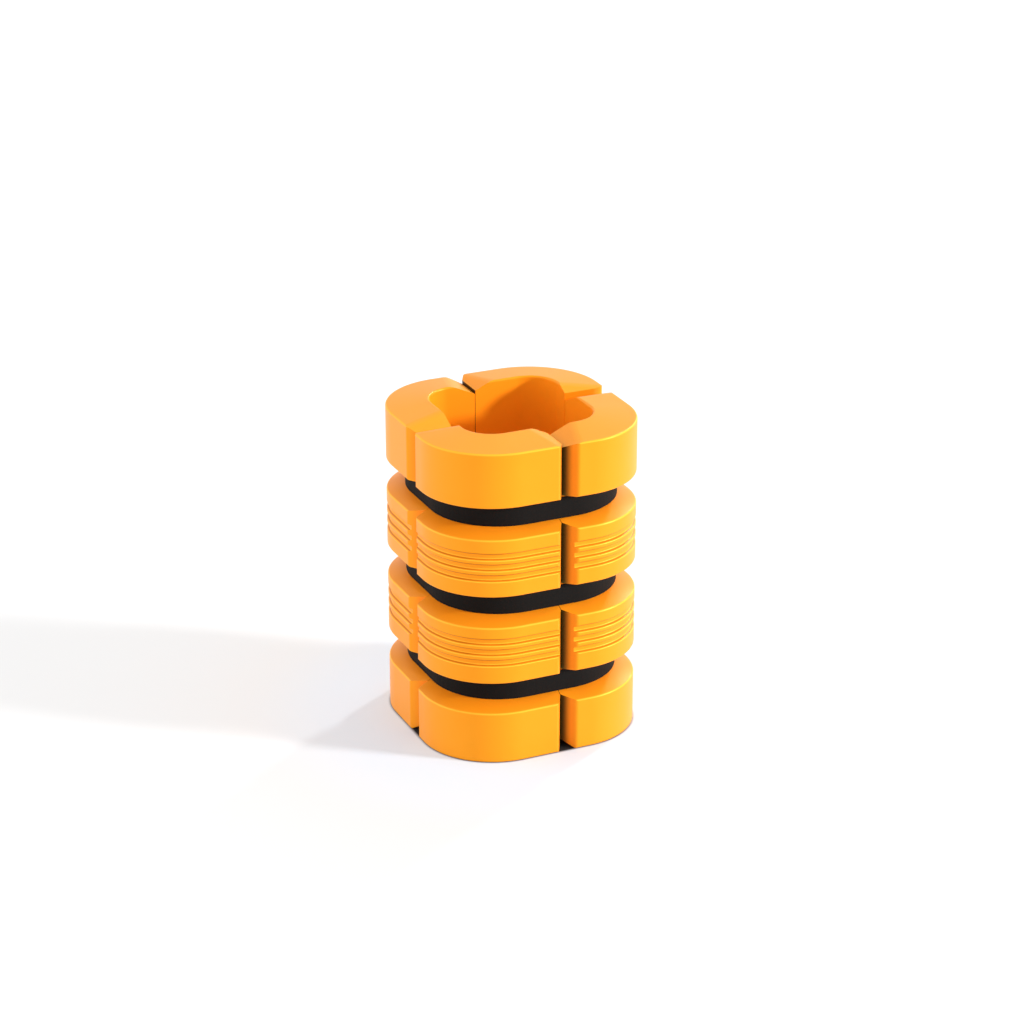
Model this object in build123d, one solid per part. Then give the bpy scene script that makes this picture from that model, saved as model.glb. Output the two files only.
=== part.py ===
"""Rack column guard: four moulded corner modules held round a square column by three straps.

Millimetres, +Z up. The origin is on the floor at the middle of the column opening.
Every module is the same wall section carried round one corner of the square. It runs on
along two sides, with a long arm one way and a short arm the other, so that each side of
the guard has one joint a little off its middle. In every joint the two modules leave an
open V at the outside and butt together behind it. The V leans one way on the front and
back, and the other way on the left and right, so opposite modules are the same moulding.
"""
from build123d import *
from math import sqrt
import os

# Main sizes of the guard
HEIGHT = 606.7          # floor to the crown's highest line, at the column opening
SIDE = 410.0            # outside, flat to flat
CORNER_R = 137.0        # outside corner radius
OPENING = 250.0         # column opening, flat to flat

# Heights, from the floor up: base tier, two ribbed tiers, and the crowned top tier above them
BASE_TIER = 97.0
RIBBED_TIER = 108.9
RIBBED_TIERS = 2
CROWN_RISE = 9.9        # the top face climbs this much from its outer rim to the opening

# Strap channel between two tiers
CHANNEL_MOUTH = 60.0    # height of the channel at the outside
CHANNEL_DEPTH = 30.5    # from the outside face to the channel's floor
CHANNEL_CORNER_R = 127.0    # corner radius of the channel's floor
SHOULDER_RISE = 12.8    # the tier below slopes up this much from its rim to the floor

# Ribbing of a ribbed tier: flutes with an undercut lip, a flat floor and a sloped ledge
FLUTES = 3
FLUTE_DEPTH = 5.0
FLUTE_LIP = 1.8         # height in which the upper wall goes in
FLUTE_FLOOR = 8.0       # height of the flute's floor
FLUTE_LEDGE = 3.5       # height in which the lower wall comes out
FLUTE_LAND = 7.1        # flat between two flutes
FLUTES_BELOW_RIM = 21.2     # from the first ribbed tier's rim down to its upper flute
FLUTES_STEP = 4.1       # the flutes lie this much lower on each next ribbed tier

# Rounding of the wall section
RIM_R = 4.0             # upper rims, and the top edge at the opening
UNDER_R = 3.0           # lower rims, and the foot
FLUTE_R = 2.0           # all flute edges

# Joints between modules: an open V at the outside, then a close butt joint
JOINT_OFFSET = 21.4     # middle of the V from the middle of the side
V_MOUTH = 36.5          # width of the V at the outside face
BUTT_GAP = 1.0          # clear gap between two butt faces
V_EDGE_R = 7.0          # rounding where an outside face turns into the V
END_BEVEL_DROP = 0.46   # slope of the top face down to a joint
END_BEND_R = 45.0       # soft bend between the crown and that slope
FOOT_BEVEL_RISE = 0.7   # slope of the underside up to a joint
FOOT_BEVEL_START = 3.0  # where the underside starts to rise, past the rim corner

# The V on the front and back, and the V on the left and right
FRONT_V_DEPTH = 20.0
FRONT_V_TIP = 11.5      # bottom of the V, sideways from the long arm's rim corner
SIDE_V_DEPTH = 22.0
SIDE_V_TIP = 32.5

# Straps
STRAP_WIDTH = 40.0
STRAP_THICKNESS = 2.6
STRAP_CLEARANCE = 0.2   # to the channel's floor and to the shoulder
STRAP_OVERLAP = 100.0   # doubled length where a strap closes on itself, at the back
STRAP_RAMP = 10.0       # length in which the outer layer climbs onto the inner one
STRAP_TIP_R = 8.0       # rounded corners of the outer layer's end

# Cutting tools run this far past what they cut
PAST = 20.0
SKIN = 0.05             # rounded tools stand this far off a face, so no faces coincide
SAME = 0.01             # places closer than this count as one

HALF = SIDE / 2
WALL = (SIDE - OPENING) / 2
AXIS = HALF - CORNER_R                          # corner axis from the middle
FLOOR_HALF = HALF - CHANNEL_DEPTH
CHANNELS = RIBBED_TIERS + 1
RIM_HEIGHT = HEIGHT - CROWN_RISE
LOWER_TIERS = [BASE_TIER] + [RIBBED_TIER] * RIBBED_TIERS
TOP_TIER = RIM_HEIGHT - sum(LOWER_TIERS) - CHANNELS * CHANNEL_MOUTH
FLUTE_HEIGHT = FLUTE_LIP + FLUTE_FLOOR + FLUTE_LEDGE
LEDGE_DEPTH = (CHANNEL_DEPTH + WALL) / 2        # hidden in the channel's core but at corners


def tier_spans():
    """Bottom and top of each tier at the outside face, from the floor up."""
    spans = []
    bottom = 0.0
    for height in LOWER_TIERS + [TOP_TIER]:
        spans.append((bottom, bottom + height))
        bottom += height + CHANNEL_MOUTH
    return spans


def flute_points(upper_lip):
    """Section points of a tier's flutes, going up to the lip of the upper one."""
    pitch = FLUTE_HEIGHT + FLUTE_LAND
    points = []
    for number in reversed(range(FLUTES)):
        lip = upper_lip - number * pitch
        points.append((0, lip - FLUTE_HEIGHT))
        points.append((FLUTE_DEPTH, lip - FLUTE_LIP - FLUTE_FLOOR))
        points.append((FLUTE_DEPTH, lip - FLUTE_LIP))
        points.append((0, lip))
    return points


def wall_section():
    """Upright section of the wall: X is the distance in from the outside face, Y is height."""
    spans = tier_spans()
    under, rims, flutes = [], [], []
    outline = []
    for number, (bottom, top) in enumerate(spans):
        under.append((0, bottom))
        outline.append((0, bottom))
        if 0 < number < len(spans) - 1:
            points = flute_points(top - FLUTES_BELOW_RIM - (number - 1) * FLUTES_STEP)
            flutes += points
            outline += points
        rims.append((0, top))
        outline.append((0, top))
        if number < len(spans) - 1:
            outline.append((CHANNEL_DEPTH, top + SHOULDER_RISE))
            outline.append((LEDGE_DEPTH, top + SHOULDER_RISE))
            outline.append((LEDGE_DEPTH, top + CHANNEL_MOUTH))
    rims.append((WALL, HEIGHT))
    under.append((WALL, 0))
    outline += [(WALL, HEIGHT), (WALL, 0)]
    section = make_face(Polyline(*outline, close=True))
    for places, radius in ((rims, RIM_R), (under, UNDER_R), (flutes, FLUTE_R)):
        corners = [
            corner
            for corner in section.vertices()
            if any(abs(corner.X - x) < SAME and abs(corner.Y - z) < SAME for x, z in places)
        ]
        section = fillet(corners, radius)
    return section


def channel_core(reach_x, reach_y):
    """The wall behind the strap channels, in the -X -Y corner and out to the two reaches."""
    plan = RectangleRounded(2 * FLOOR_HALF, 2 * FLOOR_HALF, CHANNEL_CORNER_R)
    plan -= RectangleRounded(OPENING, OPENING, OPENING / 2 - AXIS)
    corner = [
        (-HALF, -HALF),
        (reach_x, -HALF),
        (reach_x, -AXIS),
        (-AXIS, -AXIS),
        (-AXIS, reach_y),
        (-HALF, reach_y),
    ]
    plan &= make_face(Polyline(*corner, close=True))
    low = BASE_TIER / 2
    return extrude(Pos(0, 0, low) * plan, RIM_HEIGHT - TOP_TIER / 2 - low)


def end_tools(corner, tip, depth, butt):
    """What is cut away past the end of an arm that runs to +X along the -Y side.

    The arm's outside face ends at corner. From there the V runs to its bottom at tip,
    depth in from the face, and the rest of the wall ends at the flat face butt. The
    other two tools take the bevels off the foot and off the top.
    """
    slope = (tip - corner) / depth
    face = -HALF - SKIN
    far = max(corner, tip) + PAST
    outline = [
        (butt, -HALF + depth),
        (corner - slope * SKIN, face),
        (corner - PAST, face),
        (corner - PAST, -HALF - PAST),
        (far, -HALF - PAST),
        (far, -HALF + WALL + PAST),
        (butt, -HALF + WALL + PAST),
    ]
    plan = make_face(Polyline(*outline, close=True))
    turn = [v for v in plan.vertices() if abs(v.Y - face) < SAME and v.X > corner - PAST / 2]
    plan = fillet(turn, V_EDGE_R)
    end = extrude(Pos(0, 0, -PAST) * plan, HEIGHT + 2 * PAST)

    run = V_MOUTH + 2 * PAST
    start = corner + FOOT_BEVEL_START
    wedge = [
        (start - run, -FOOT_BEVEL_RISE * run),
        (start + run, -FOOT_BEVEL_RISE * run),
        (start + run, FOOT_BEVEL_RISE * run),
    ]
    upright = Plane(origin=(0, -HALF - PAST, 0), x_dir=(1, 0, 0), z_dir=(0, -1, 0))
    foot = extrude(upright * make_face(Polyline(*wedge, close=True)), -(WALL + 2 * PAST))
    return [end, foot, top_bevel_tool(corner, run)]


def top_bevel_tool(corner, run):
    """What the bevel takes off the top, past a soft bend that starts at the rim at corner.

    The crown climbs to +Y and the bevel falls to +X, so they meet in a slanting crease.
    The tool is one section square to that crease, drawn out along it.
    """
    climb = CROWN_RISE / WALL
    fall = END_BEVEL_DROP
    crease_length = sqrt(climb**2 + fall**2 + (climb * fall) ** 2)
    crown_slope = climb**2 / crease_length
    bevel_slope = fall**2 / crease_length
    bend = -SKIN / (crown_slope + bevel_slope)
    section = [
        (-PAST, SKIN - crown_slope * PAST),
        (bend, -bevel_slope * bend),
        (run, -bevel_slope * run),
        (run, run),
        (-PAST, run),
    ]
    face = make_face(Polyline(*section, close=True))
    crease = [v for v in face.vertices() if abs(v.X - bend) < SAME]
    face = fillet(crease, END_BEND_R)
    square = Plane(
        origin=(corner, -HALF, RIM_HEIGHT),
        x_dir=(fall, climb, 0),
        z_dir=(climb, -fall, -climb * fall),
    )
    before = PAST * crease_length / fall
    beyond = (WALL + PAST) * crease_length / fall
    return extrude(square * face, before) + extrude(square * face, -beyond)


def corner_module(long_tip, long_depth, short_tip, short_depth):
    """One module in the -X -Y corner, with its long arm along the -Y side.

    A tip is where the bottom of the V lies, sideways from the long arm's rim corner of
    its own joint. So for the short arm it is measured on the neighbour's arm.
    """
    long_corner = JOINT_OFFSET - V_MOUTH / 2
    short_corner = long_corner - 2 * JOINT_OFFSET
    long_butt = long_corner + long_tip - BUTT_GAP / 2
    short_butt = short_corner + V_MOUTH - short_tip - BUTT_GAP / 2
    long_reach = max(long_corner, long_butt) + PAST / 2
    short_reach = max(short_corner, short_butt) + PAST / 2

    across = Plane(origin=(-AXIS, -HALF, 0), x_dir=(0, 1, 0), z_dir=(1, 0, 0))
    face = across * wall_section()
    diagonal = Plane(origin=(-AXIS, -AXIS, 0), x_dir=(1, 1, 0), z_dir=(1, -1, 0))
    body = revolve(face, axis=Axis((-AXIS, -AXIS, 0), (0, 0, -1)), revolution_arc=90)
    body += extrude(face, long_reach + AXIS)
    body += mirror(extrude(face, short_reach + AXIS), about=diagonal)
    body += channel_core(long_reach, short_reach)
    for tool in end_tools(long_corner, long_corner + long_tip, long_depth, long_butt):
        body -= tool
    short_bottom = short_corner + V_MOUTH - short_tip
    for tool in end_tools(short_corner, short_bottom, short_depth, short_butt):
        body -= mirror(tool, about=diagonal)
    return body


def strap(floor_z):
    """A strap round all four modules, resting on the shoulder that starts at floor_z."""
    inner = FLOOR_HALF + STRAP_CLEARANCE
    inner_r = CHANNEL_CORNER_R + STRAP_CLEARANCE
    outer = inner + STRAP_THICKNESS
    band = RectangleRounded(2 * outer, 2 * outer, inner_r + STRAP_THICKNESS)
    band -= RectangleRounded(2 * inner, 2 * inner, inner_r)
    low = floor_z + SHOULDER_RISE + STRAP_CLEARANCE
    loop = extrude(Pos(0, 0, low) * band, STRAP_WIDTH)

    start = -STRAP_OVERLAP / 2
    end = STRAP_OVERLAP / 2
    middle = inner + STRAP_THICKNESS / 2
    tail_outline = [
        (start - STRAP_RAMP, middle),
        (start - STRAP_RAMP, outer),
        (start, outer + STRAP_THICKNESS),
        (end, outer + STRAP_THICKNESS),
        (end, middle),
    ]
    tail = extrude(Pos(0, 0, low) * make_face(Polyline(*tail_outline, close=True)), STRAP_WIDTH)
    tip = [
        edge
        for edge in tail.edges().filter_by(Axis.Y)
        if abs(edge.center().X - end) < SAME
    ]
    tail = fillet(tip, STRAP_TIP_R)
    return loop + tail


def turned(shape, quarter):
    """The shape turned by so many quarter turns about the column's middle."""
    return Rot(0, 0, 90 * quarter) * shape


def main():
    os.makedirs("parts", exist_ok=True)
    names = ["corner_front_left", "corner_front_right", "corner_back_right", "corner_back_left"]
    front_back = corner_module(FRONT_V_TIP, FRONT_V_DEPTH, SIDE_V_TIP, SIDE_V_DEPTH)
    left_right = corner_module(SIDE_V_TIP, SIDE_V_DEPTH, FRONT_V_TIP, FRONT_V_DEPTH)
    for quarter, name in enumerate(names):
        module = front_back if quarter % 2 == 0 else left_right
        export_step(turned(module, quarter), "parts/" + name + ".step")
    strap_names = ["strap_lower", "strap_middle", "strap_upper"]
    rims = [top for _, top in tier_spans()]
    for name, rim in zip(strap_names, rims):
        export_step(strap(rim), "parts/" + name + ".step")


main()
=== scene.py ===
"""Looks of a rack column guard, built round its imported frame.

Four moulded corner modules stand round a square opening, and three webbing straps in the
channels between their tiers hold them together. Each module is modelled as its moulding
is: one upright wall section, spun round the corner and drawn out along two arms, whose
ends are then cut back with rounded cuts. Each strap is a band of webbing that closes on
itself. The sizes are the frame's own, in metres, +Z up, and the origin is on the floor in
the middle of the opening.
"""

import logging
import math
from dataclasses import dataclass, field
from enum import Enum
from typing import Iterable

import bmesh
import bpy
from mathutils import Matrix, Vector

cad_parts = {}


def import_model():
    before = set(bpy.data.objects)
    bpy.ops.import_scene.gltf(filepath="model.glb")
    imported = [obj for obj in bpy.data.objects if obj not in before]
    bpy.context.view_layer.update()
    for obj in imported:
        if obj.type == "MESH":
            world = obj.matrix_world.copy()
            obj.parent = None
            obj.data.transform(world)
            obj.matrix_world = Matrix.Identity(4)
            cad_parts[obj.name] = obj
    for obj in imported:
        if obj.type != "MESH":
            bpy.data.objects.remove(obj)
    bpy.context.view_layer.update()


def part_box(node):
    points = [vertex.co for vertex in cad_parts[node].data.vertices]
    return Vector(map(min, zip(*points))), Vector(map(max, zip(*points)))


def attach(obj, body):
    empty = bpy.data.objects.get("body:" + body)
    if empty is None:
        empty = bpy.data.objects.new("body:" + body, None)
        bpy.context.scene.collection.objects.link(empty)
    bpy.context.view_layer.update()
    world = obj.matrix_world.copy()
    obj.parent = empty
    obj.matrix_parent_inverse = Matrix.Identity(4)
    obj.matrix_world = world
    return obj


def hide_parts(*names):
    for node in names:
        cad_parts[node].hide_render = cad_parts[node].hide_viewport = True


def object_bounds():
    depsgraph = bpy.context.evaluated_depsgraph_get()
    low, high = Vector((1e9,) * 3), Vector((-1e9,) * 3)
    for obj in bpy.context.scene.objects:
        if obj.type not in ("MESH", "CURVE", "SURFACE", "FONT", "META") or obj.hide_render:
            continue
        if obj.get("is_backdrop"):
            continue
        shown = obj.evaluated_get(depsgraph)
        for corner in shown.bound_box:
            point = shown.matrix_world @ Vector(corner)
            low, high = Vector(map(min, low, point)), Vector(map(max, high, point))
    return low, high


LOG = logging.getLogger("column_guard")
MM = 0.001

# Values on a module's mesh. The first two serve its modelling, and the finish reads the others,
# which place painted highlights and painted shade.
SECTION_TONE = "section_tone"
SWEPT = "swept"
EDGE_TONE = "edge_tone"
JOINT_DEPTH = "joint_depth"
# The map of a strap's mesh that the weave follows.
WEAVE_MAP = "band"

# A mix node's sockets for two colours and for their mixture, which share their names.
MIX_LOW = 6
MIX_HIGH = 7
MIX_RESULT = 2

# Radians that the bands of a wave texture run through in one unit, at a scale of one.
WAVE_RADIANS = 20
# Points nearer to a cut than this are taken as lying on it.
WELD = 0.001 * MM
# A face is upright when its normal rises less than this.
UPRIGHT_RISE = 0.01
# How far larger faces rule the shading of the edges that they share with smaller ones.
LARGE_FACE_WEIGHT = 100


class Corner(Enum):
    """The four modules, each with the quarter turns that bring it to its place."""

    FRONT_LEFT = ("corner_front_left", 0)
    FRONT_RIGHT = ("corner_front_right", 1)
    BACK_RIGHT = ("corner_back_right", 2)
    BACK_LEFT = ("corner_back_left", 3)

    @property
    def node(self) -> str:
        """The CAD node that the module stands for."""
        return self.value[0]

    @property
    def quarter_turns(self) -> int:
        """Quarter turns about the opening's middle, from the front left corner."""
        return self.value[1]


class Channel(Enum):
    """The three strap channels, each with the node of its strap."""

    LOWER = "strap_lower"
    MIDDLE = "strap_middle"
    UPPER = "strap_upper"

    @property
    def node(self) -> str:
        """The CAD node of the strap in the channel."""
        return self.value


def linear(sheet_colour: str) -> tuple[float, float, float, float]:
    """Turns an sRGB hex colour into the linear colour that a shader takes.

    Args:
        sheet_colour: Six hex digits, such as "FF9C2C".

    Returns:
        Linear red, green and blue, and an alpha of one.
    """
    channels = []
    for start in (0, 2, 4):
        value = int(sheet_colour[start:start + 2], 16) / 255
        channels.append(value / 12.92 if value <= 0.04045 else ((value + 0.055) / 1.055) ** 2.4)
    return (channels[0], channels[1], channels[2], 1.0)


def add_node(
    holder: bpy.types.Material | bpy.types.World,
    kind: str,
    settings: dict[str | int, object] | None = None,
    links: dict[str | int, bpy.types.NodeSocket] | None = None,
) -> bpy.types.Node:
    """Adds one node to a material or a world, sets it up and links its inputs.

    Args:
        holder: The material or world that gets the node.
        kind: The node's Blender type name.
        settings: Values by name or number. A name that is a property sets it, and any
            other name or number is an input.
        links: Output sockets of other nodes, by the name or number of the input they feed.

    Returns:
        The new node.
    """
    node = holder.node_tree.nodes.new(kind)
    for name, value in (settings or {}).items():
        if isinstance(name, str) and name in node.bl_rna.properties:
            setattr(node, name, value)
        else:
            node.inputs[name].default_value = value
    for name, socket in (links or {}).items():
        holder.node_tree.links.new(socket, node.inputs[name])
    return node


def empty_material(name: str) -> bpy.types.Material:
    """Makes a material with no nodes in it.

    Args:
        name: The material's name.

    Returns:
        The new material.
    """
    material = bpy.data.materials.new(name)
    material.use_nodes = True
    material.node_tree.nodes.clear()
    return material


def per_size(millimetres: float) -> float:
    """Gives the texture scale at which one feature of a pattern has this size."""
    return 1.0 / (millimetres * MM)


@dataclass(frozen=True)
class MouldedPolyethylene:
    """Rotationally moulded polyethylene, coloured right through.

    The mould's blasted wall leaves a fine satin grain, and the plastic shrinks a little
    unevenly as it cools, so that broad highlights waver slightly. Highlights are painted in a
    paler yellow on the upper edges, shade is painted dark in the corners under the flutes'
    lips, painted shade turns the joints' faces a deeper orange, and painted shade makes the
    bottom of each joint nearly black. The real grain is finer than this one, which is drawn
    just coarse enough to show.
    """

    name: str = "moulded_polyethylene"
    colour: str = "F7971A"
    deeper_colour: str = "F49116"
    gloss_colour: str = "FFD862"
    painted_highlight_colour: str = "FFBA34"
    painted_crease_shade_colour: str = "A04800"
    shaded_colour: str = "F4800E"
    shaded_span: tuple[float, float] = (0.02, 0.24)
    painted_joint_shade_colour: str = "120803"
    painted_joint_shade_span: tuple[float, float] = (0.33, 0.86)
    roughness: float = 0.4
    roughness_swing: float = 0.04
    grain_mm: float = 2.2
    grain_depth_mm: float = 0.06
    ripple_mm: float = 70.0
    ripple_depth_mm: float = 0.6
    blotch_mm: float = 120.0

    def build(self) -> bpy.types.Material:
        """Builds the finish.

        Returns:
            The material.
        """
        material = empty_material(self.name)
        place = add_node(material, "ShaderNodeTexCoord").outputs["Object"]
        blotches = add_node(
            material,
            "ShaderNodeTexNoise",
            {"Scale": per_size(self.blotch_mm), "Detail": 2.0, "Roughness": 0.5},
            {"Vector": place},
        )
        plain = add_node(
            material,
            "ShaderNodeMix",
            {
                "data_type": "RGBA",
                MIX_LOW: linear(self.colour),
                MIX_HIGH: linear(self.deeper_colour),
            },
            {"Factor": blotches.outputs["Fac"]},
        )
        colour = plain.outputs[MIX_RESULT]
        # Painted highlights on the upper edges, painted shade in the flutes' creases, and painted
        # shade on the joints' faces, deepest at their bottoms.
        for layer, span, full_colour in (
            (EDGE_TONE, (0.0, 1.0), self.painted_highlight_colour),
            (EDGE_TONE, (0.0, -1.0), self.painted_crease_shade_colour),
            (JOINT_DEPTH, self.shaded_span, self.shaded_colour),
            (JOINT_DEPTH, self.painted_joint_shade_span, self.painted_joint_shade_colour),
        ):
            colour = self.tint(material, colour, layer, span, full_colour)
        grain = add_node(
            material,
            "ShaderNodeTexNoise",
            {"Scale": per_size(self.grain_mm), "Detail": 3.0, "Roughness": 0.6},
            {"Vector": place},
        )
        gloss = add_node(
            material,
            "ShaderNodeMapRange",
            {
                "To Min": self.roughness - self.roughness_swing,
                "To Max": self.roughness + self.roughness_swing,
            },
            {"Value": grain.outputs["Fac"]},
        )
        ripple = add_node(
            material,
            "ShaderNodeTexNoise",
            {"Scale": per_size(self.ripple_mm), "Detail": 1.0, "Roughness": 0.4},
            {"Vector": place},
        )
        wavering = add_node(
            material,
            "ShaderNodeBump",
            {"Strength": 0.5, "Distance": self.ripple_depth_mm * MM},
            {"Height": ripple.outputs["Fac"]},
        )
        satin = add_node(
            material,
            "ShaderNodeBump",
            {"Strength": 0.25, "Distance": self.grain_depth_mm * MM},
            {"Height": grain.outputs["Fac"], "Normal": wavering.outputs["Normal"]},
        )
        shader = add_node(
            material,
            "ShaderNodeBsdfPrincipled",
            {
                "IOR": 1.5,
                "Metallic": 0.0,
                "Specular IOR Level": 0.8,
                "Specular Tint": linear(self.gloss_colour),
            },
            {
                "Base Color": colour,
                "Roughness": gloss.outputs["Result"],
                "Normal": satin.outputs["Normal"],
            },
        )
        add_node(
            material, "ShaderNodeOutputMaterial", links={"Surface": shader.outputs["BSDF"]}
        )
        return material

    def tint(
        self,
        material: bpy.types.Material,
        colour: bpy.types.NodeSocket,
        layer: str,
        span: tuple[float, float],
        full_colour: str,
    ) -> bpy.types.NodeSocket:
        """Turns the colour into another one where a value written on the mesh says so.

        Args:
            material: The plastic.
            colour: The colour to start from.
            layer: Name of the value on the mesh.
            span: The value that leaves the colour alone, and the one that changes it fully.
            full_colour: Six hex digits of the other colour.

        Returns:
            The new colour.
        """
        written = add_node(material, "ShaderNodeAttribute", {"attribute_name": layer})
        share = add_node(
            material,
            "ShaderNodeMapRange",
            {"interpolation_type": "SMOOTHSTEP", "From Min": span[0], "From Max": span[1]},
            {"Value": written.outputs["Fac"]},
        )
        mixed = add_node(
            material,
            "ShaderNodeMix",
            {"data_type": "RGBA", MIX_HIGH: linear(full_colour)},
            {"Factor": share.outputs["Result"], MIX_LOW: colour},
        )
        return mixed.outputs[MIX_RESULT]


@dataclass(frozen=True)
class HookAndLoopWebbing:
    """Woven polyester webbing with a brushed loop face.

    The loops scatter light at a glance, which greys the black where it turns away, and
    ribs of the weave run across the band. Real ribs are a few times closer together, and
    are drawn this wide to show at all.
    """

    name: str = "hook_and_loop_webbing"
    colour: str = "080706"
    worn_colour: str = "110F0E"
    roughness: float = 0.8
    rib_mm: float = 10.053
    rib_depth_mm: float = 0.3
    loop_mm: float = 0.9
    loop_depth_mm: float = 0.4

    def build(self) -> bpy.types.Material:
        """Builds the finish.

        Returns:
            The material.
        """
        material = empty_material(self.name)
        along = add_node(material, "ShaderNodeUVMap", {"uv_map": WEAVE_MAP}).outputs["UV"]
        place = add_node(material, "ShaderNodeTexCoord").outputs["Object"]
        ribs = add_node(
            material,
            "ShaderNodeTexWave",
            {
                "wave_type": "BANDS",
                "bands_direction": "X",
                "Scale": per_size(self.rib_mm) * 2 * math.pi / WAVE_RADIANS,
                "Distortion": 0.4,
                "Detail": 1.0,
            },
            {"Vector": along},
        )
        loops = add_node(
            material,
            "ShaderNodeTexVoronoi",
            {"Scale": per_size(self.loop_mm)},
            {"Vector": place},
        )
        colour = add_node(
            material,
            "ShaderNodeMix",
            {
                "data_type": "RGBA",
                MIX_LOW: linear(self.colour),
                MIX_HIGH: linear(self.worn_colour),
            },
            {"Factor": loops.outputs["Distance"]},
        )
        weave = add_node(
            material,
            "ShaderNodeBump",
            {"Strength": 0.25, "Distance": self.rib_depth_mm * MM},
            {"Height": ribs.outputs["Fac"]},
        )
        pile = add_node(
            material,
            "ShaderNodeBump",
            {"Strength": 0.6, "Distance": self.loop_depth_mm * MM},
            {"Height": loops.outputs["Distance"], "Normal": weave.outputs["Normal"]},
        )
        shader = add_node(
            material,
            "ShaderNodeBsdfPrincipled",
            {
                "Roughness": self.roughness,
                "Sheen Weight": 0.02,
                "Sheen Roughness": 0.5,
                "Specular IOR Level": 0.15,
            },
            {"Base Color": colour.outputs[MIX_RESULT], "Normal": pile.outputs["Normal"]},
        )
        add_node(
            material, "ShaderNodeOutputMaterial", links={"Surface": shader.outputs["BSDF"]}
        )
        return material


@dataclass(frozen=True)
class GuardPlan:
    """The driving sizes of the guard.

    The half width and the straps' outside are the frame's. A tier is as high as its outside
    face, a channel's mouth is the gap between two such faces, and the floor radius is that
    of the channels' bottom at the corner.
    """

    half: float
    strap_outer: float
    height: float = 606.7 * MM
    corner_radius: float = 137.0 * MM
    opening_half: float = 125.0 * MM
    base_tier: float = 97.0 * MM
    ribbed_tier: float = 108.9 * MM
    ribbed_tiers: int = 2
    crown_rise: float = 9.9 * MM
    channel_mouth: float = 60.0 * MM
    channel_depth: float = 30.5 * MM
    floor_radius: float = 127.0 * MM
    shoulder_rise: float = 12.8 * MM

    @classmethod
    def from_frame(cls) -> "GuardPlan":
        """Reads the guard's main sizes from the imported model.

        Returns:
            The sizes.
        """
        low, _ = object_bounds()
        _, strap_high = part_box(Channel.UPPER.node)
        return cls(half=-low[0], strap_outer=strap_high[0])

    @property
    def wall(self) -> float:
        """Thickness of a module, from the outside face to the opening."""
        return self.half - self.opening_half

    @property
    def axis(self) -> float:
        """Distance of the corner's axis from the opening's middle, along X and along Y."""
        return self.half - self.corner_radius

    @property
    def rim_height(self) -> float:
        """Height of the top tier's outer rim."""
        return self.height - self.crown_rise

    def tiers(self) -> list[tuple[float, float]]:
        """Bottom and top of each tier at the outside face, from the floor up."""
        spans = [(0.0, self.base_tier)]
        for _ in range(self.ribbed_tiers):
            bottom = spans[-1][1] + self.channel_mouth
            spans.append((bottom, bottom + self.ribbed_tier))
        spans.append((spans[-1][1] + self.channel_mouth, self.rim_height))
        return spans


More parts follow.
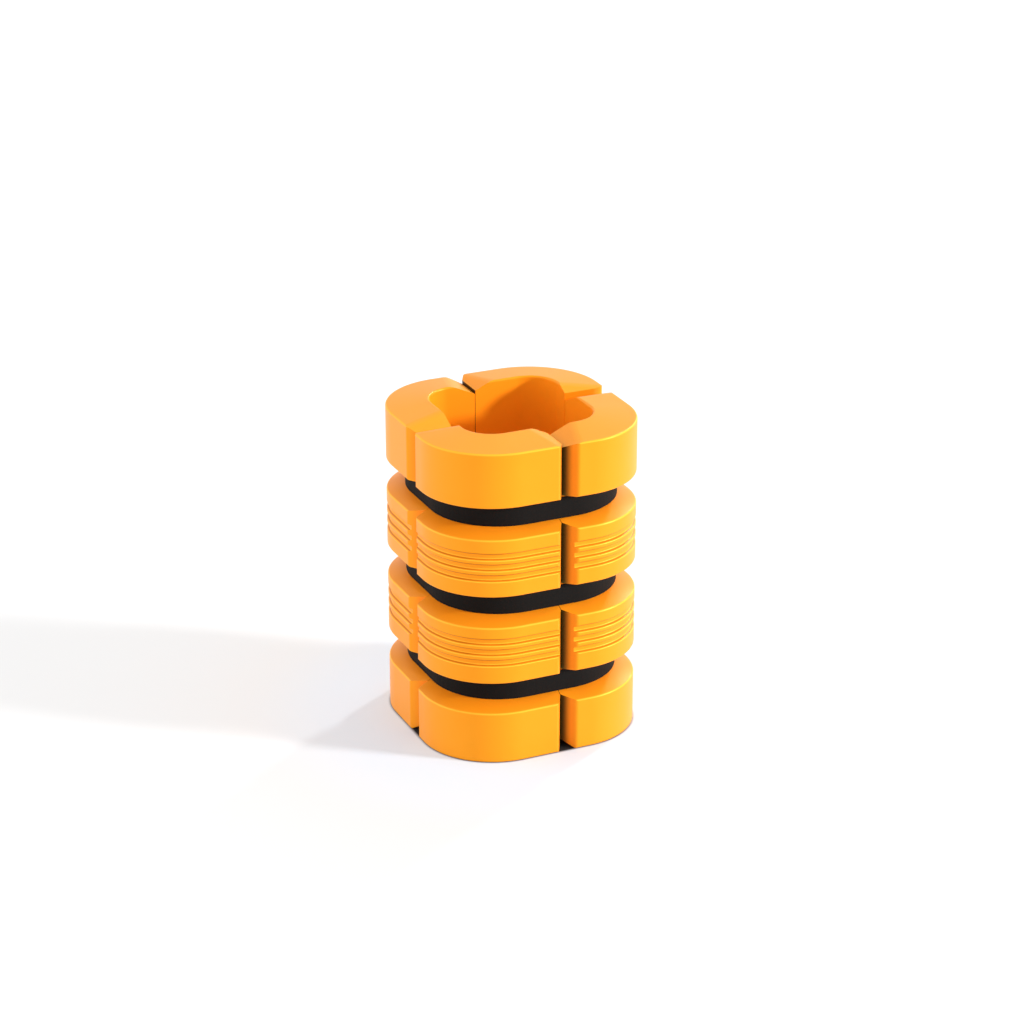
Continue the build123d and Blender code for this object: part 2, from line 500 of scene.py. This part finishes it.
@dataclass(frozen=True)
class PaleFloor:
    """The plain pale floor of the studio, a white panel that is faintly lit from below.

    A contact shadow is painted black on the panel under the guard and between the joints,
    where its glow is off too. Its white is painted cooler near the guard, against the orange
    light that the plastic throws on it. That ends within a span counted from the opening's
    middle, and the painted shadow fades within one that is counted from the edge of the
    guard's footprint.
    """

    plan: GuardPlan
    name: str = "pale_floor"
    colour: str = "DADADA"
    cool_colour: str = "D2DFEC"
    cool_mm: tuple[float, float] = (230.0, 520.0)
    contact_shadow_colour: str = "2C2C2C"
    creep_mm: tuple[float, float] = (-4.0, 5.0)
    glow: float = 0.165

    def build(self) -> bpy.types.Material:
        """Builds the finish.

        Returns:
            The material.
        """
        material = empty_material(self.name)
        place = add_node(material, "ShaderNodeTexCoord").outputs["Object"]
        away = add_node(
            material, "ShaderNodeVectorMath", {"operation": "LENGTH"}, {"Vector": place}
        )
        near, far = [end * MM for end in self.cool_mm]
        # A painted cool tint near the guard, against the orange light that its plastic throws on
        # the floor.
        warmth = add_node(
            material,
            "ShaderNodeMapRange",
            {"interpolation_type": "SMOOTHSTEP", "From Min": near, "From Max": far},
            {"Value": away.outputs["Value"]},
        )
        panel = add_node(
            material,
            "ShaderNodeMix",
            {
                "data_type": "RGBA",
                MIX_LOW: linear(self.cool_colour),
                MIX_HIGH: linear(self.colour),
            },
            {"Factor": warmth.outputs["Result"]},
        )
        # The painted contact shadow: dark and without glow under the guard, fading just past its
        # edge.
        clear = self.clearance(material, place)
        colour = add_node(
            material,
            "ShaderNodeMix",
            {"data_type": "RGBA", MIX_LOW: linear(self.contact_shadow_colour)},
            {"Factor": clear, MIX_HIGH: panel.outputs[MIX_RESULT]},
        )
        glow = add_node(material, "ShaderNodeMapRange", {"To Max": self.glow}, {"Value": clear})
        shader = add_node(
            material,
            "ShaderNodeBsdfPrincipled",
            {"Roughness": 0.9, "Specular IOR Level": 0.1, "Emission Color": (1, 1, 1, 1)},
            {
                "Base Color": colour.outputs[MIX_RESULT],
                "Emission Strength": glow.outputs["Result"],
            },
        )
        add_node(
            material, "ShaderNodeOutputMaterial", links={"Surface": shader.outputs["BSDF"]}
        )
        return material

    def clearance(
        self, material: bpy.types.Material, place: bpy.types.NodeSocket
    ) -> bpy.types.NodeSocket:
        """Tells whether a point of the floor is clear of the guard's footprint and its painted
        shadow.

        Args:
            material: The floor's finish.
            place: The point.

        Returns:
            Zero under the guard, and one outside it and inside its opening.
        """
        axis = self.plan.axis
        quarter = add_node(
            material, "ShaderNodeVectorMath", {"operation": "ABSOLUTE"}, {"Vector": place}
        )
        offset = add_node(
            material,
            "ShaderNodeVectorMath",
            {"operation": "SUBTRACT", 1: (axis, axis, 0)},
            {0: quarter.outputs["Vector"]},
        )
        beyond = add_node(
            material,
            "ShaderNodeVectorMath",
            {"operation": "MAXIMUM"},
            {0: offset.outputs["Vector"]},
        )
        radius = add_node(
            material,
            "ShaderNodeVectorMath",
            {"operation": "LENGTH"},
            {"Vector": beyond.outputs["Vector"]},
        )
        near, clear = [end * MM for end in self.creep_mm]
        outer, inner = self.plan.corner_radius, self.plan.opening_half - axis
        sides = {}
        for low, high in ((outer + near, outer + clear), (inner - near, inner - clear)):
            side = add_node(
                material,
                "ShaderNodeMapRange",
                {"interpolation_type": "SMOOTHSTEP", "From Min": low, "From Max": high},
                {"Value": radius.outputs["Value"]},
            )
            sides[len(sides)] = side.outputs["Result"]
        either = add_node(material, "ShaderNodeMath", {"operation": "MAXIMUM"}, sides)
        return either.outputs["Value"]


@dataclass(frozen=True)
class SectionCorner:
    """One corner of the wall section: its place, how far it is rounded, and its tone.

    The tone is 1 where a painted highlight makes the edge pale, and -1 where painted shade
    makes it deep. Beyond that the same painted light covers more of the rounding.
    """

    depth: float
    height: float
    radius: float = 0.0
    tone: float = 0.0


@dataclass(frozen=True)
class WallSection:
    """The upright section of a module's wall, from the floor to the crowned top.

    A flute has a sill at its lower edge, a sloping ledge, a flat floor and a lip above. Shade
    is painted on the ledge, darkest at a point partway down it, and under the lip, and
    highlights are painted on the sill, where the ledge meets the floor, and on the rims.
    """

    plan: GuardPlan
    flutes: int = 3
    flute_depth: float = 5.0 * MM
    flute_lip: float = 1.8 * MM
    flute_floor: float = 8.0 * MM
    flute_ledge: float = 3.5 * MM
    flute_land: float = 7.1 * MM
    flutes_below_rim: float = 21.2 * MM
    flutes_step: float = 4.1 * MM
    flute_radius: float = 2.0 * MM
    rim_radius: float = 4.0 * MM
    under_radius: float = 3.0 * MM
    fillet_segments: int = 5
    # Tones above zero paint a highlight and tones below zero paint shade; the shade point is a
    # corner partway along the ledge.
    shade_point_depth: float = 0.62
    shade_point_drop: float = 0.38
    rim_tone: float = 0.75
    sill_tone: float = 2.5
    shade_point_tone: float = -0.72
    ledge_tone: float = 0.9
    floor_tone: float = -0.5
    lip_tone: float = -0.75

    def fluting(self, upper_lip: float) -> list[SectionCorner]:
        """Gives the corners of one tier's flutes, going up.

        Args:
            upper_lip: Height of the upper flute's lip.

        Returns:
            The corners.
        """
        depth, radius = self.flute_depth, self.flute_radius
        height = self.flute_lip + self.flute_floor + self.flute_ledge
        corners = []
        for number in reversed(range(self.flutes)):
            lip = upper_lip - number * (height + self.flute_land)
            under_lip = lip - self.flute_lip
            ledge = under_lip - self.flute_floor
            shade_point = ledge - self.flute_ledge * self.shade_point_drop
            corners.append(SectionCorner(0.0, lip - height, radius, self.sill_tone))
            corners.append(SectionCorner(depth * self.shade_point_depth, shade_point, tone=self.shade_point_tone))
            corners.append(SectionCorner(depth, ledge, radius, self.ledge_tone))
            corners.append(SectionCorner(depth, under_lip, radius, self.floor_tone))
            corners.append(SectionCorner(0.0, lip, radius, self.lip_tone))
        return corners

    def corners(self) -> list[SectionCorner]:
        """Gives the whole section, up the outside and down the opening."""
        plan = self.plan
        behind = (plan.channel_depth + plan.wall) / 2
        tiers = plan.tiers()
        corners = []
        for number, (bottom, top) in enumerate(tiers):
            corners.append(SectionCorner(0.0, bottom, self.under_radius))
            if 0 < number < len(tiers) - 1:
                upper_lip = top - self.flutes_below_rim - (number - 1) * self.flutes_step
                corners += self.fluting(upper_lip)
            corners.append(SectionCorner(0.0, top, self.rim_radius, self.rim_tone))
            if number < len(tiers) - 1:
                shoulder = top + plan.shoulder_rise
                corners.append(SectionCorner(plan.channel_depth, shoulder))
                corners.append(SectionCorner(behind, shoulder))
                corners.append(SectionCorner(behind, top + plan.channel_mouth))
        corners.append(SectionCorner(plan.wall, plan.height, self.rim_radius))
        corners.append(SectionCorner(plan.wall, 0.0, self.under_radius))
        return corners

    def draw(self, mesh: bmesh.types.BMesh) -> list[bmesh.types.BMEdge]:
        """Draws the section as a closed wire where the long arm meets the corner.

        Args:
            mesh: The mesh that gets the wire.

        Returns:
            The wire's edges.
        """
        corners = self.corners()
        tones = mesh.verts.layers.float.new(SECTION_TONE)
        points = [
            mesh.verts.new((-self.plan.axis, -self.plan.half + corner.depth, corner.height))
            for corner in corners
        ]
        for start, end in zip(points, points[1:] + points[:1]):
            mesh.edges.new((start, end))
        rounded = []
        for number, corner in enumerate(corners):
            points[number][tones] = corner.tone
            if corner.radius:
                point = points[number]
                to_last = points[number - 1].co - point.co
                to_next = points[(number + 1) % len(points)].co - point.co
                turn = math.pi - to_last.angle(to_next)
                rounded.append((point, corner, turn / 2))
        for point, corner, half_turn in rounded:
            place = point.co.copy()
            run = corner.radius * math.tan(half_turn)
            nearest = corner.radius / math.cos(half_turn) - corner.radius
            for vert in round_off(mesh, [point], "VERTICES", run, self.fillet_segments):
                off = (vert.co - place).length
                vert[tones] = corner.tone * math.sqrt(max(0.0, (run - off) / (run - nearest)))
        return mesh.edges[:]


@dataclass(frozen=True)
class EndCut:
    """How one arm of a module ends: half of an open V, then a flat butt face.

    The corner, the tip and the butt are places along the arm. A share of painted shade
    darkens the V's bottom: at 1 it is painted as good as black, and less paints a lighter
    joint. The top drops and the foot rises by their slopes towards the joint, each in a bend
    of its own radius.
    """

    corner: float
    tip: float
    depth: float
    butt: float
    joint_shade_share: float
    top_slope: float = 0.46
    foot_slope: float = 0.7
    foot_start: float = 3.0 * MM
    edge_radius: float = 9.0 * MM
    top_radius: float = 45.0 * MM
    foot_radius: float = 8.0 * MM

    @property
    def lean(self) -> Vector:
        """Outward normal of the V's leaning face, for an arm running to +X."""
        return Vector((self.depth, -(self.tip - self.corner), 0)).normalized()

    def planes(self, plan: GuardPlan) -> list[tuple[Vector, Vector]]:
        """Gives the cuts that end an arm running to +X along the -Y side.

        Args:
            plan: The guard's sizes.

        Returns:
            A point and an outward normal for each cut, from the coarse to the fine.
        """
        outside = Vector((0, -1, 0))
        crown = Vector((0, -plan.crown_rise, plan.wall)).normalized()
        top = Vector((self.top_slope, 0, 1)).normalized()
        under = Vector((0, 0, -1))
        foot = Vector((self.foot_slope, 0, -1)).normalized()
        mouth = Vector((self.corner, -plan.half, plan.rim_height))
        foot_point = Vector((self.corner + self.foot_start, -plan.half, 0))
        cuts = [(Vector((self.butt, 0, 0)), Vector((1, 0, 0)))]
        cuts += rounded_cut(mouth, outside, self.lean, self.edge_radius)
        cuts += rounded_cut(mouth, crown, top, self.top_radius)
        cuts += rounded_cut(foot_point, under, foot, self.foot_radius)
        return cuts


def rounded_cut(
    crease: Vector, before: Vector, after: Vector, radius: float, steps: int = 8
) -> list[tuple[Vector, Vector]]:
    """Gives the cuts that leave one face's plane and turn smoothly into another's.

    Args:
        crease: A point where the two planes meet.
        before: Outward normal of the face that stays.
        after: Outward normal of the face that is cut.
        radius: Radius of the rounding between the two.
        steps: Number of cuts across the rounding.

    Returns:
        A point and an outward normal for each cut, with the far plane first.
    """
    middle = (before + after).normalized()
    centre = crease - middle * radius / middle.dot(after)
    cuts = []
    for step in range(steps, 0, -1):
        normal = before.slerp(after, step / steps)
        cuts.append((centre + normal * radius, normal))
    return cuts


def cut_back(mesh: bmesh.types.BMesh, point: Vector, normal: Vector) -> None:
    """Cuts away what lies outside a plane and closes the cut.

    Args:
        mesh: The mesh to cut.
        point: A point on the plane.
        normal: The plane's outward normal.
    """
    cut = bmesh.ops.bisect_plane(
        mesh,
        geom=mesh.verts[:] + mesh.edges[:] + mesh.faces[:],
        dist=WELD,
        plane_co=point,
        plane_no=normal,
        clear_outer=True,
    )
    rim = [
        item
        for item in cut["geom_cut"]
        if isinstance(item, bmesh.types.BMEdge) and len(item.link_faces) == 1
    ]
    if rim:
        bmesh.ops.edgeloop_fill(mesh, edges=rim)


def draw_out(
    mesh: bmesh.types.BMesh,
    edges: Iterable[bmesh.types.BMEdge],
    way: tuple[float, float, float],
) -> None:
    """Draws edges straight out into faces.

    Args:
        mesh: The mesh that the edges are in.
        edges: The edges.
        way: Which way they go, and how far.
    """
    drawn = bmesh.ops.extrude_edge_only(mesh, edges=edges)
    far = [item for item in drawn["geom"] if isinstance(item, bmesh.types.BMVert)]
    bmesh.ops.translate(mesh, verts=far, vec=way)


def round_off(
    mesh: bmesh.types.BMesh,
    items: Iterable[bmesh.types.BMVert] | Iterable[bmesh.types.BMEdge],
    kind: str,
    run: float,
    segments: int,
) -> list[bmesh.types.BMVert]:
    """Rounds points or edges of a mesh with arcs.

    Args:
        mesh: The mesh to work on.
        items: The points or the edges.
        kind: "VERTICES" or "EDGES".
        run: How far from its point or edge each arc starts.
        segments: Number of facets in each arc.

    Returns:
        The arcs' points.
    """
    arcs = bmesh.ops.bevel(
        mesh,
        geom=items,
        offset=run,
        offset_type="OFFSET",
        segments=segments,
        profile=0.5,
        affect=kind,
        material=-1,
    )
    return arcs["verts"]


def take_in(mesh: bmesh.types.BMesh, other: bmesh.types.BMesh) -> None:
    """Adds another mesh's faces to a mesh.

    Args:
        mesh: The mesh that gets the faces.
        other: The other mesh, which is used up.
    """
    data = bpy.data.meshes.new("taken_in")
    other.to_mesh(data)
    other.free()
    mesh.from_mesh(data)
    bpy.data.meshes.remove(data)


def finished_object(
    name: str, mesh: bmesh.types.BMesh, material: bpy.types.Material, sharp_degrees: float
) -> bpy.types.Object:
    """Turns a mesh into an object at the origin that is smooth but for its sharp edges.

    Args:
        name: The object's name.
        mesh: The mesh, which is used up.
        material: Its finish.
        sharp_degrees: Edges that turn more than this stay sharp.

    Returns:
        The new object, linked into the scene.
    """
    bmesh.ops.recalc_face_normals(mesh, faces=mesh.faces[:])
    for face in mesh.faces:
        face.smooth = True
    data = bpy.data.meshes.new(name)
    mesh.to_mesh(data)
    mesh.free()
    data.set_sharp_from_angle(angle=math.radians(sharp_degrees))
    data.materials.append(material)
    piece = bpy.data.objects.new(name, data)
    bpy.context.scene.collection.objects.link(piece)
    weighted = piece.modifiers.new("weighted_normals", "WEIGHTED_NORMAL")
    weighted.keep_sharp = True
    weighted.weight = LARGE_FACE_WEIGHT
    return piece


@dataclass(frozen=True)
class OpenV:
    """The V that two modules form on one side, and how dark painted shade makes its bottom.

    The tip is the bottom's distance from the V's mouth at the long arm.
    """

    tip: float
    depth: float
    joint_shade_share: float


@dataclass
class CornerModule:
    """A moulded corner module, with a long arm one way and a short arm the other.

    The arms are first drawn some way past their ends, which are then cut back.
    """

    corner: Corner
    plan: GuardPlan
    joint_offset: float = 21.4 * MM
    v_mouth: float = 36.5 * MM
    butt_gap: float = 1.0 * MM
    # The front V's bottom is painted nearly black with shade, and the side V's much less.
    front_v: OpenV = OpenV(tip=11.5 * MM, depth=20.0 * MM, joint_shade_share=1.0)
    side_v: OpenV = OpenV(tip=32.5 * MM, depth=22.0 * MM, joint_shade_share=0.3)
    corner_steps: int = 40
    past: float = 20.0 * MM
    sharp_degrees: float = 24.0
    section: WallSection = field(init=False)

    def __post_init__(self) -> None:
        """Sets up the wall section from the guard's sizes."""
        self.section = WallSection(self.plan)

    def end_cuts(self) -> tuple[EndCut, EndCut]:
        """Gives the cuts of the long arm and of the short arm."""
        on_side = self.corner.quarter_turns % 2 == 1
        long_v, short_v = (self.side_v, self.front_v) if on_side else (self.front_v, self.side_v)
        long_corner = self.joint_offset - self.v_mouth / 2
        short_corner = long_corner - 2 * self.joint_offset
        long_tip = long_corner + long_v.tip
        short_tip = short_corner + self.v_mouth - short_v.tip
        gap = self.butt_gap / 2
        return (
            EndCut(long_corner, long_tip, long_v.depth, long_tip - gap, long_v.joint_shade_share),
            EndCut(short_corner, short_tip, short_v.depth, short_tip - gap, short_v.joint_shade_share),
        )

    def build_walls(self, mesh: bmesh.types.BMesh, long_reach: float, short_reach: float) -> None:
        """Draws the section out along the long arm, round the corner and along the short arm.

        Args:
            mesh: The mesh that gets the walls.
            long_reach: How far the long arm runs along X.
            short_reach: How far the short arm runs along Y.
        """
        axis = self.plan.axis
        wire = self.section.draw(mesh)
        draw_out(mesh, wire, (long_reach + axis, 0, 0))
        ends = {vert for edge in wire for vert in edge.verts}
        spun = bmesh.ops.spin(
            mesh,
            geom=list(ends) + wire,
            cent=(-axis, -axis, 0),
            axis=(0, 0, 1),
            angle=-math.pi / 2,
            steps=self.corner_steps,
            use_merge=False,
        )
        last = [item for item in spun["geom_last"] if isinstance(item, bmesh.types.BMEdge)]
        draw_out(mesh, last, (0, short_reach + axis, 0))
        for on_long_arm in (True, False):
            open_rim = [
                edge
                for edge in mesh.edges
                if len(edge.link_faces) == 1
                and (edge.verts[0].co.x > -axis + MM) == on_long_arm
            ]
            bmesh.ops.edgeloop_fill(mesh, edges=open_rim)

    def build_core(self, mesh: bmesh.types.BMesh, long_reach: float, short_reach: float) -> None:
        """Adds the wall behind the strap channels, whose corner is drawn with its own radius.

        Args:
            mesh: The mesh that gets the wall.
            long_reach: How far it runs along X.
            short_reach: How far it runs along Y.
        """
        plan = self.plan
        floor = plan.half - plan.channel_depth
        low = plan.base_tier / 2
        high = plan.tiers()[-1][0] + plan.base_tier / 2
        turns = ((long_reach, -floor, low), (-floor, -floor, low), (-floor, short_reach, low))
        route = bmesh.new()
        points = [route.verts.new(place) for place in turns]
        route.edges.new(points[:2])
        route.edges.new(points[1:])
        round_off(route, [points[1]], "VERTICES", plan.floor_radius, self.corner_steps)
        draw_out(route, route.edges[:], (0, 0, high - low))
        bmesh.ops.recalc_face_normals(route, faces=route.faces[:])
        face = route.faces[:][0]
        middle = face.calc_center_median()
        if (middle + face.normal * MM).xy.length < middle.xy.length:
            bmesh.ops.reverse_faces(route, faces=route.faces[:])
        thickness = (plan.wall - plan.channel_depth) / 2 + MM
        bmesh.ops.solidify(route, geom=route.faces[:], thickness=thickness)
        take_in(mesh, route)

    def mark_edges(self, mesh: bmesh.types.BMesh) -> None:
        """Writes the section's tones, its painted highlights and shade, on the swept walls, and
        leaves the cut ends plain.

        Args:
            mesh: The module's mesh, after its cuts.
        """
        tones = mesh.verts.layers.float[SECTION_TONE]
        swept = mesh.faces.layers.int[SWEPT]
        layer = mesh.loops.layers.float.new(EDGE_TONE)
        for face in mesh.faces:
            if face[swept]:
                for loop in face.loops:
                    loop[layer] = loop.vert[tones]

    def mark_joint(self, mesh: bmesh.types.BMesh, cut: EndCut, side: Matrix) -> None:
        """Writes on an arm's upright cuts how deep in the V each point lies, times its painted
        shade.

        Args:
            mesh: The module's mesh, after its cuts.
            cut: The arm's end.
            side: What brings an arm along the -Y side to this arm's side, and back.
        """
        swept = mesh.faces.layers.int[SWEPT]
        layer = mesh.loops.layers.float[JOINT_DEPTH]
        for face in mesh.faces:
            middle = side @ face.calc_center_median()
            if not face[swept] and abs(face.normal.z) < UPRIGHT_RISE and middle.x > middle.y:
                for loop in face.loops:
                    depth = (side @ loop.vert.co).y + self.plan.half
                    loop[layer] = cut.joint_shade_share * min(1.0, depth / cut.depth)

    def build(self, material: bpy.types.Material) -> bpy.types.Object:
        """Builds the module in its place and puts it in the CAD node's stead.

        Args:
            material: The plastic's finish.

        Returns:
            The module's object.
        """
        long_cut, short_cut = self.end_cuts()
        long_reach = max(long_cut.corner, long_cut.butt) + self.past
        short_reach = max(short_cut.corner, short_cut.butt) + self.past
        mesh = bmesh.new()
        self.build_walls(mesh, long_reach, short_reach)
        self.build_core(mesh, long_reach, short_reach)
        swept = mesh.faces.layers.int.new(SWEPT)
        for face in mesh.faces:
            face[swept] = 1
        over_diagonal = Matrix(((0, 1, 0), (1, 0, 0), (0, 0, 1)))
        for point, normal in long_cut.planes(self.plan):
            cut_back(mesh, point, normal)
        for point, normal in short_cut.planes(self.plan):
            cut_back(mesh, over_diagonal @ point, over_diagonal @ normal)
        mesh.normal_update()
        self.mark_edges(mesh)
        mesh.loops.layers.float.new(JOINT_DEPTH)
        self.mark_joint(mesh, long_cut, Matrix.Identity(3))
        self.mark_joint(mesh, short_cut, over_diagonal)
        mesh.verts.layers.float.remove(mesh.verts.layers.float[SECTION_TONE])
        mesh.faces.layers.int.remove(mesh.faces.layers.int[SWEPT])
        turn = Matrix.Rotation(math.radians(90 * self.corner.quarter_turns), 3, "Z")
        bmesh.ops.rotate(mesh, cent=(0, 0, 0), matrix=turn, verts=mesh.verts[:])
        name = "module_" + self.corner.name.lower()
        piece = finished_object(name, mesh, material, self.sharp_degrees)
        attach(piece, "root")
        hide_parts(self.corner.node)
        return piece


@dataclass
class Strap:
    """A webbing strap that lies in one channel and closes on itself at the back.

    Its doubled end climbs onto the loop over a short ramp. Edges that turn more than the
    square degrees are rounded.
    """

    channel: Channel
    plan: GuardPlan
    thickness: float = 2.6 * MM
    clearance: float = 0.2 * MM
    overlap: float = 100.0 * MM
    ramp: float = 10.0 * MM
    edge_radius: float = 0.9 * MM
    edge_segments: int = 3
    corner_steps: int = 32
    square_degrees: float = 50.0
    sharp_degrees: float = 40.0

    def build(self, material: bpy.types.Material) -> bpy.types.Object:
        """Builds the strap in its place and puts it in the CAD node's stead.

        Args:
            material: The webbing's finish.

        Returns:
            The strap's object.
        """
        low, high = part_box(self.channel.node)
        mesh = bmesh.new()
        self.build_loop(mesh, low[2], high[2])
        self.build_tail(mesh, low[2], high[2])
        self.lay_pattern(mesh)
        name = "band_" + self.channel.name.lower()
        piece = finished_object(name, mesh, material, self.sharp_degrees)
        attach(piece, "root")
        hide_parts(self.channel.node)
        return piece

    def build_loop(self, mesh: bmesh.types.BMesh, low: float, high: float) -> None:
        """Builds the closed loop of webbing, with softly rounded edges.

        Args:
            mesh: The mesh that gets the loop.
            low: Height of its lower edge.
            high: Height of its upper edge.
        """
        inner = self.plan.strap_outer - self.thickness
        radius = self.plan.floor_radius + self.clearance
        ring = bmesh.ops.create_grid(mesh, x_segments=1, y_segments=1, size=inner)["verts"]
        round_off(mesh, ring, "VERTICES", radius, self.corner_steps)
        bmesh.ops.delete(mesh, geom=mesh.faces[:], context="FACES_ONLY")
        bmesh.ops.translate(mesh, verts=mesh.verts[:], vec=(0, 0, low))
        draw_out(mesh, mesh.edges[:], (0, 0, high - low))
        bmesh.ops.recalc_face_normals(mesh, faces=mesh.faces[:])
        bmesh.ops.solidify(mesh, geom=mesh.faces[:], thickness=-self.thickness)
        self.round_edges(mesh)

    def build_tail(self, mesh: bmesh.types.BMesh, low: float, high: float) -> None:
        """Builds the doubled end, which climbs onto the loop at the back.

        Args:
            mesh: The mesh that gets the tail.
            low: Height of its lower edge.
            high: Height of its upper edge.
        """
        outer = self.plan.strap_outer
        start, end = -self.overlap / 2, self.overlap / 2
        outline = (
            (start - self.ramp, outer - self.thickness / 2),
            (start - self.ramp, outer),
            (start, outer + self.thickness),
            (end, outer + self.thickness),
            (end, outer - self.thickness / 2),
        )
        tail = bmesh.new()
        face = tail.faces.new([tail.verts.new((x, y, low)) for x, y in outline])
        drawn = bmesh.ops.extrude_face_region(tail, geom=[face], use_keep_orig=True)
        upper = [item for item in drawn["geom"] if isinstance(item, bmesh.types.BMVert)]
        bmesh.ops.translate(tail, verts=upper, vec=(0, 0, high - low))
        bmesh.ops.recalc_face_normals(tail, faces=tail.faces[:])
        self.round_edges(tail)
        take_in(mesh, tail)

    def round_edges(self, mesh: bmesh.types.BMesh) -> None:
        """Rounds the edges that turn by about a right angle.

        Args:
            mesh: The mesh to work on.
        """
        square = [
            edge
            for edge in mesh.edges
            if len(edge.link_faces) == 2
            and edge.calc_face_angle() > math.radians(self.square_degrees)
        ]
        round_off(mesh, square, "EDGES", self.edge_radius, self.edge_segments)

    def lay_pattern(self, mesh: bmesh.types.BMesh) -> None:
        """Writes how far each point lies along and across the band, for the weave.

        Args:
            mesh: The strap's mesh.
        """
        layer = mesh.loops.layers.uv.new(WEAVE_MAP)
        radius = self.plan.floor_radius
        centre = self.plan.strap_outer - radius
        for face in mesh.faces:
            middle = face.calc_center_median()
            quadrant = math.floor((math.atan2(middle.y, middle.x) + math.pi / 4) / (math.pi / 2))
            for loop in face.loops:
                place = loop.vert.co
                turned = Matrix.Rotation(-quadrant * math.pi / 2, 2) @ place.xy
                along = max(-centre, min(centre, turned.y))
                past = turned.y - along
                if past:
                    angle = math.atan2(abs(past), max(turned.x - centre, MM))
                    along += math.copysign(radius * angle, past)
                run = along + quadrant * (2 * centre + radius * math.pi / 2)
                loop[layer].uv = (run, place.z)


def direction(azimuth: float, elevation: float) -> Vector:
    """Gives the direction that two angles point in.

    Args:
        azimuth: Degrees from the front, -Y, towards +X.
        elevation: Degrees above the floor.

    Returns:
        The direction, of length one.
    """
    turn, rise = math.radians(azimuth), math.radians(elevation)
    return Vector(
        (math.sin(turn) * math.cos(rise), -math.cos(turn) * math.cos(rise), math.sin(rise))
    )


@dataclass(frozen=True)
class SoftLight:
    """One soft light, so far off that it falls evenly on the whole floor.

    Its angles say where it hangs, and the spread says how wide it looks from the guard. All
    of them are in degrees.
    """

    name: str
    azimuth: float
    elevation: float
    spread: float
    strength: float

    def build(self) -> bpy.types.Object:
        """Hangs the light.

        Returns:
            The light.
        """
        data = bpy.data.lights.new(self.name, "SUN")
        data.angle = math.radians(self.spread)
        data.energy = self.strength
        lamp = bpy.data.objects.new(self.name, data)
        away = direction(self.azimuth, self.elevation)
        lamp.matrix_world = away.to_track_quat("Z", "Y").to_matrix().to_4x4()
        bpy.context.scene.collection.objects.link(lamp)
        return lamp


@dataclass
class Studio:
    """The floor, the soft lights and the camera.

    The camera looks down from its angles, in degrees, and is shifted to the right and up
    from the line through the middle of the opening. The air's strength goes from its first
    value to its second between two heights, those of a direction of length one.
    """

    plan: GuardPlan
    azimuth: float = -24.46
    elevation: float = 22.60
    distance: float = 5.482
    shift_right: float = 2.5 * MM
    shift_up: float = 365.3 * MM
    focal_length: float = 102.69
    sensor: float = 36.0
    sight: float = 50.0
    floor_half: float = 30.0
    air_heights: tuple[float, float] = (0.16, 0.26)
    air_strengths: tuple[float, float] = (1.0, 0.85)
    lights: tuple[SoftLight, ...] = (
        SoftLight("key", azimuth=54, elevation=16, spread=8, strength=3.4),
        SoftLight("rim", azimuth=121, elevation=30, spread=5, strength=0.95),
        SoftLight("fill", azimuth=-105, elevation=12, spread=60, strength=1.1),
    )

    def build_camera(self) -> bpy.types.Object:
        """Places the camera at the photograph's viewing angle.

        Returns:
            The camera.
        """
        turn = math.radians(self.azimuth)
        back = direction(self.azimuth, self.elevation)
        right = Vector((math.cos(turn), math.sin(turn), 0))
        up = back.cross(right)
        data = bpy.data.cameras.new("camera")
        data.lens = self.focal_length
        data.sensor_width = self.sensor
        data.clip_end = self.sight
        camera = bpy.data.objects.new("camera", data)
        place = back * self.distance + right * self.shift_right + up * self.shift_up
        aim = Matrix((right, up, back)).transposed().to_4x4()
        camera.matrix_world = Matrix.Translation(place) @ aim
        bpy.context.scene.collection.objects.link(camera)
        bpy.context.scene.camera = camera
        return camera

    def build_floor(self, material: bpy.types.Material) -> bpy.types.Object:
        """Lays the floor, so wide that its edge is out of the picture.

        Args:
            material: The floor's finish.

        Returns:
            The floor.
        """
        mesh = bmesh.new()
        bmesh.ops.create_grid(mesh, x_segments=2, y_segments=2, size=self.floor_half)
        floor = finished_object("studio_floor", mesh, material, sharp_degrees=30)
        floor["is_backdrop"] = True
        return floor

    def build_air(self) -> bpy.types.World:
        """Fills the studio with even light from all round, a little whiter at the horizon.

        Returns:
            The world.
        """
        world = bpy.data.worlds.new("studio_air")
        world.use_nodes = True
        world.node_tree.nodes.clear()
        place = add_node(world, "ShaderNodeTexCoord").outputs["Object"]
        split = add_node(world, "ShaderNodeSeparateXYZ", links={"Vector": place})
        strength = add_node(
            world,
            "ShaderNodeMapRange",
            {
                "From Min": self.air_heights[0],
                "From Max": self.air_heights[1],
                "To Min": self.air_strengths[0],
                "To Max": self.air_strengths[1],
            },
            {"Value": split.outputs["Z"]},
        )
        background = add_node(
            world,
            "ShaderNodeBackground",
            {"Color": (1, 1, 1, 1)},
            {"Strength": strength.outputs["Result"]},
        )
        add_node(
            world, "ShaderNodeOutputWorld", links={"Surface": background.outputs["Background"]}
        )
        return world

    def build(self) -> None:
        """Sets up the whole studio."""
        scene = bpy.context.scene
        scene.view_settings.view_transform = "Standard"
        self.build_camera()
        self.build_floor(PaleFloor(self.plan).build())
        for light in self.lights:
            light.build()
        scene.world = self.build_air()


def main() -> None:
    """Builds the guard's pieces and the studio."""
    logging.basicConfig(level=logging.INFO, format="%(name)s: %(message)s")
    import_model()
    plan = GuardPlan.from_frame()
    plastic = MouldedPolyethylene().build()
    for corner in Corner:
        piece = CornerModule(corner, plan).build(plastic)
        LOG.info("%s: %d faces", piece.name, len(piece.data.polygons))
    webbing = HookAndLoopWebbing().build()
    for channel in Channel:
        piece = Strap(channel, plan).build(webbing)
        LOG.info("%s: %d faces", piece.name, len(piece.data.polygons))
    Studio(plan).build()


if __name__ == "__main__":
    main()
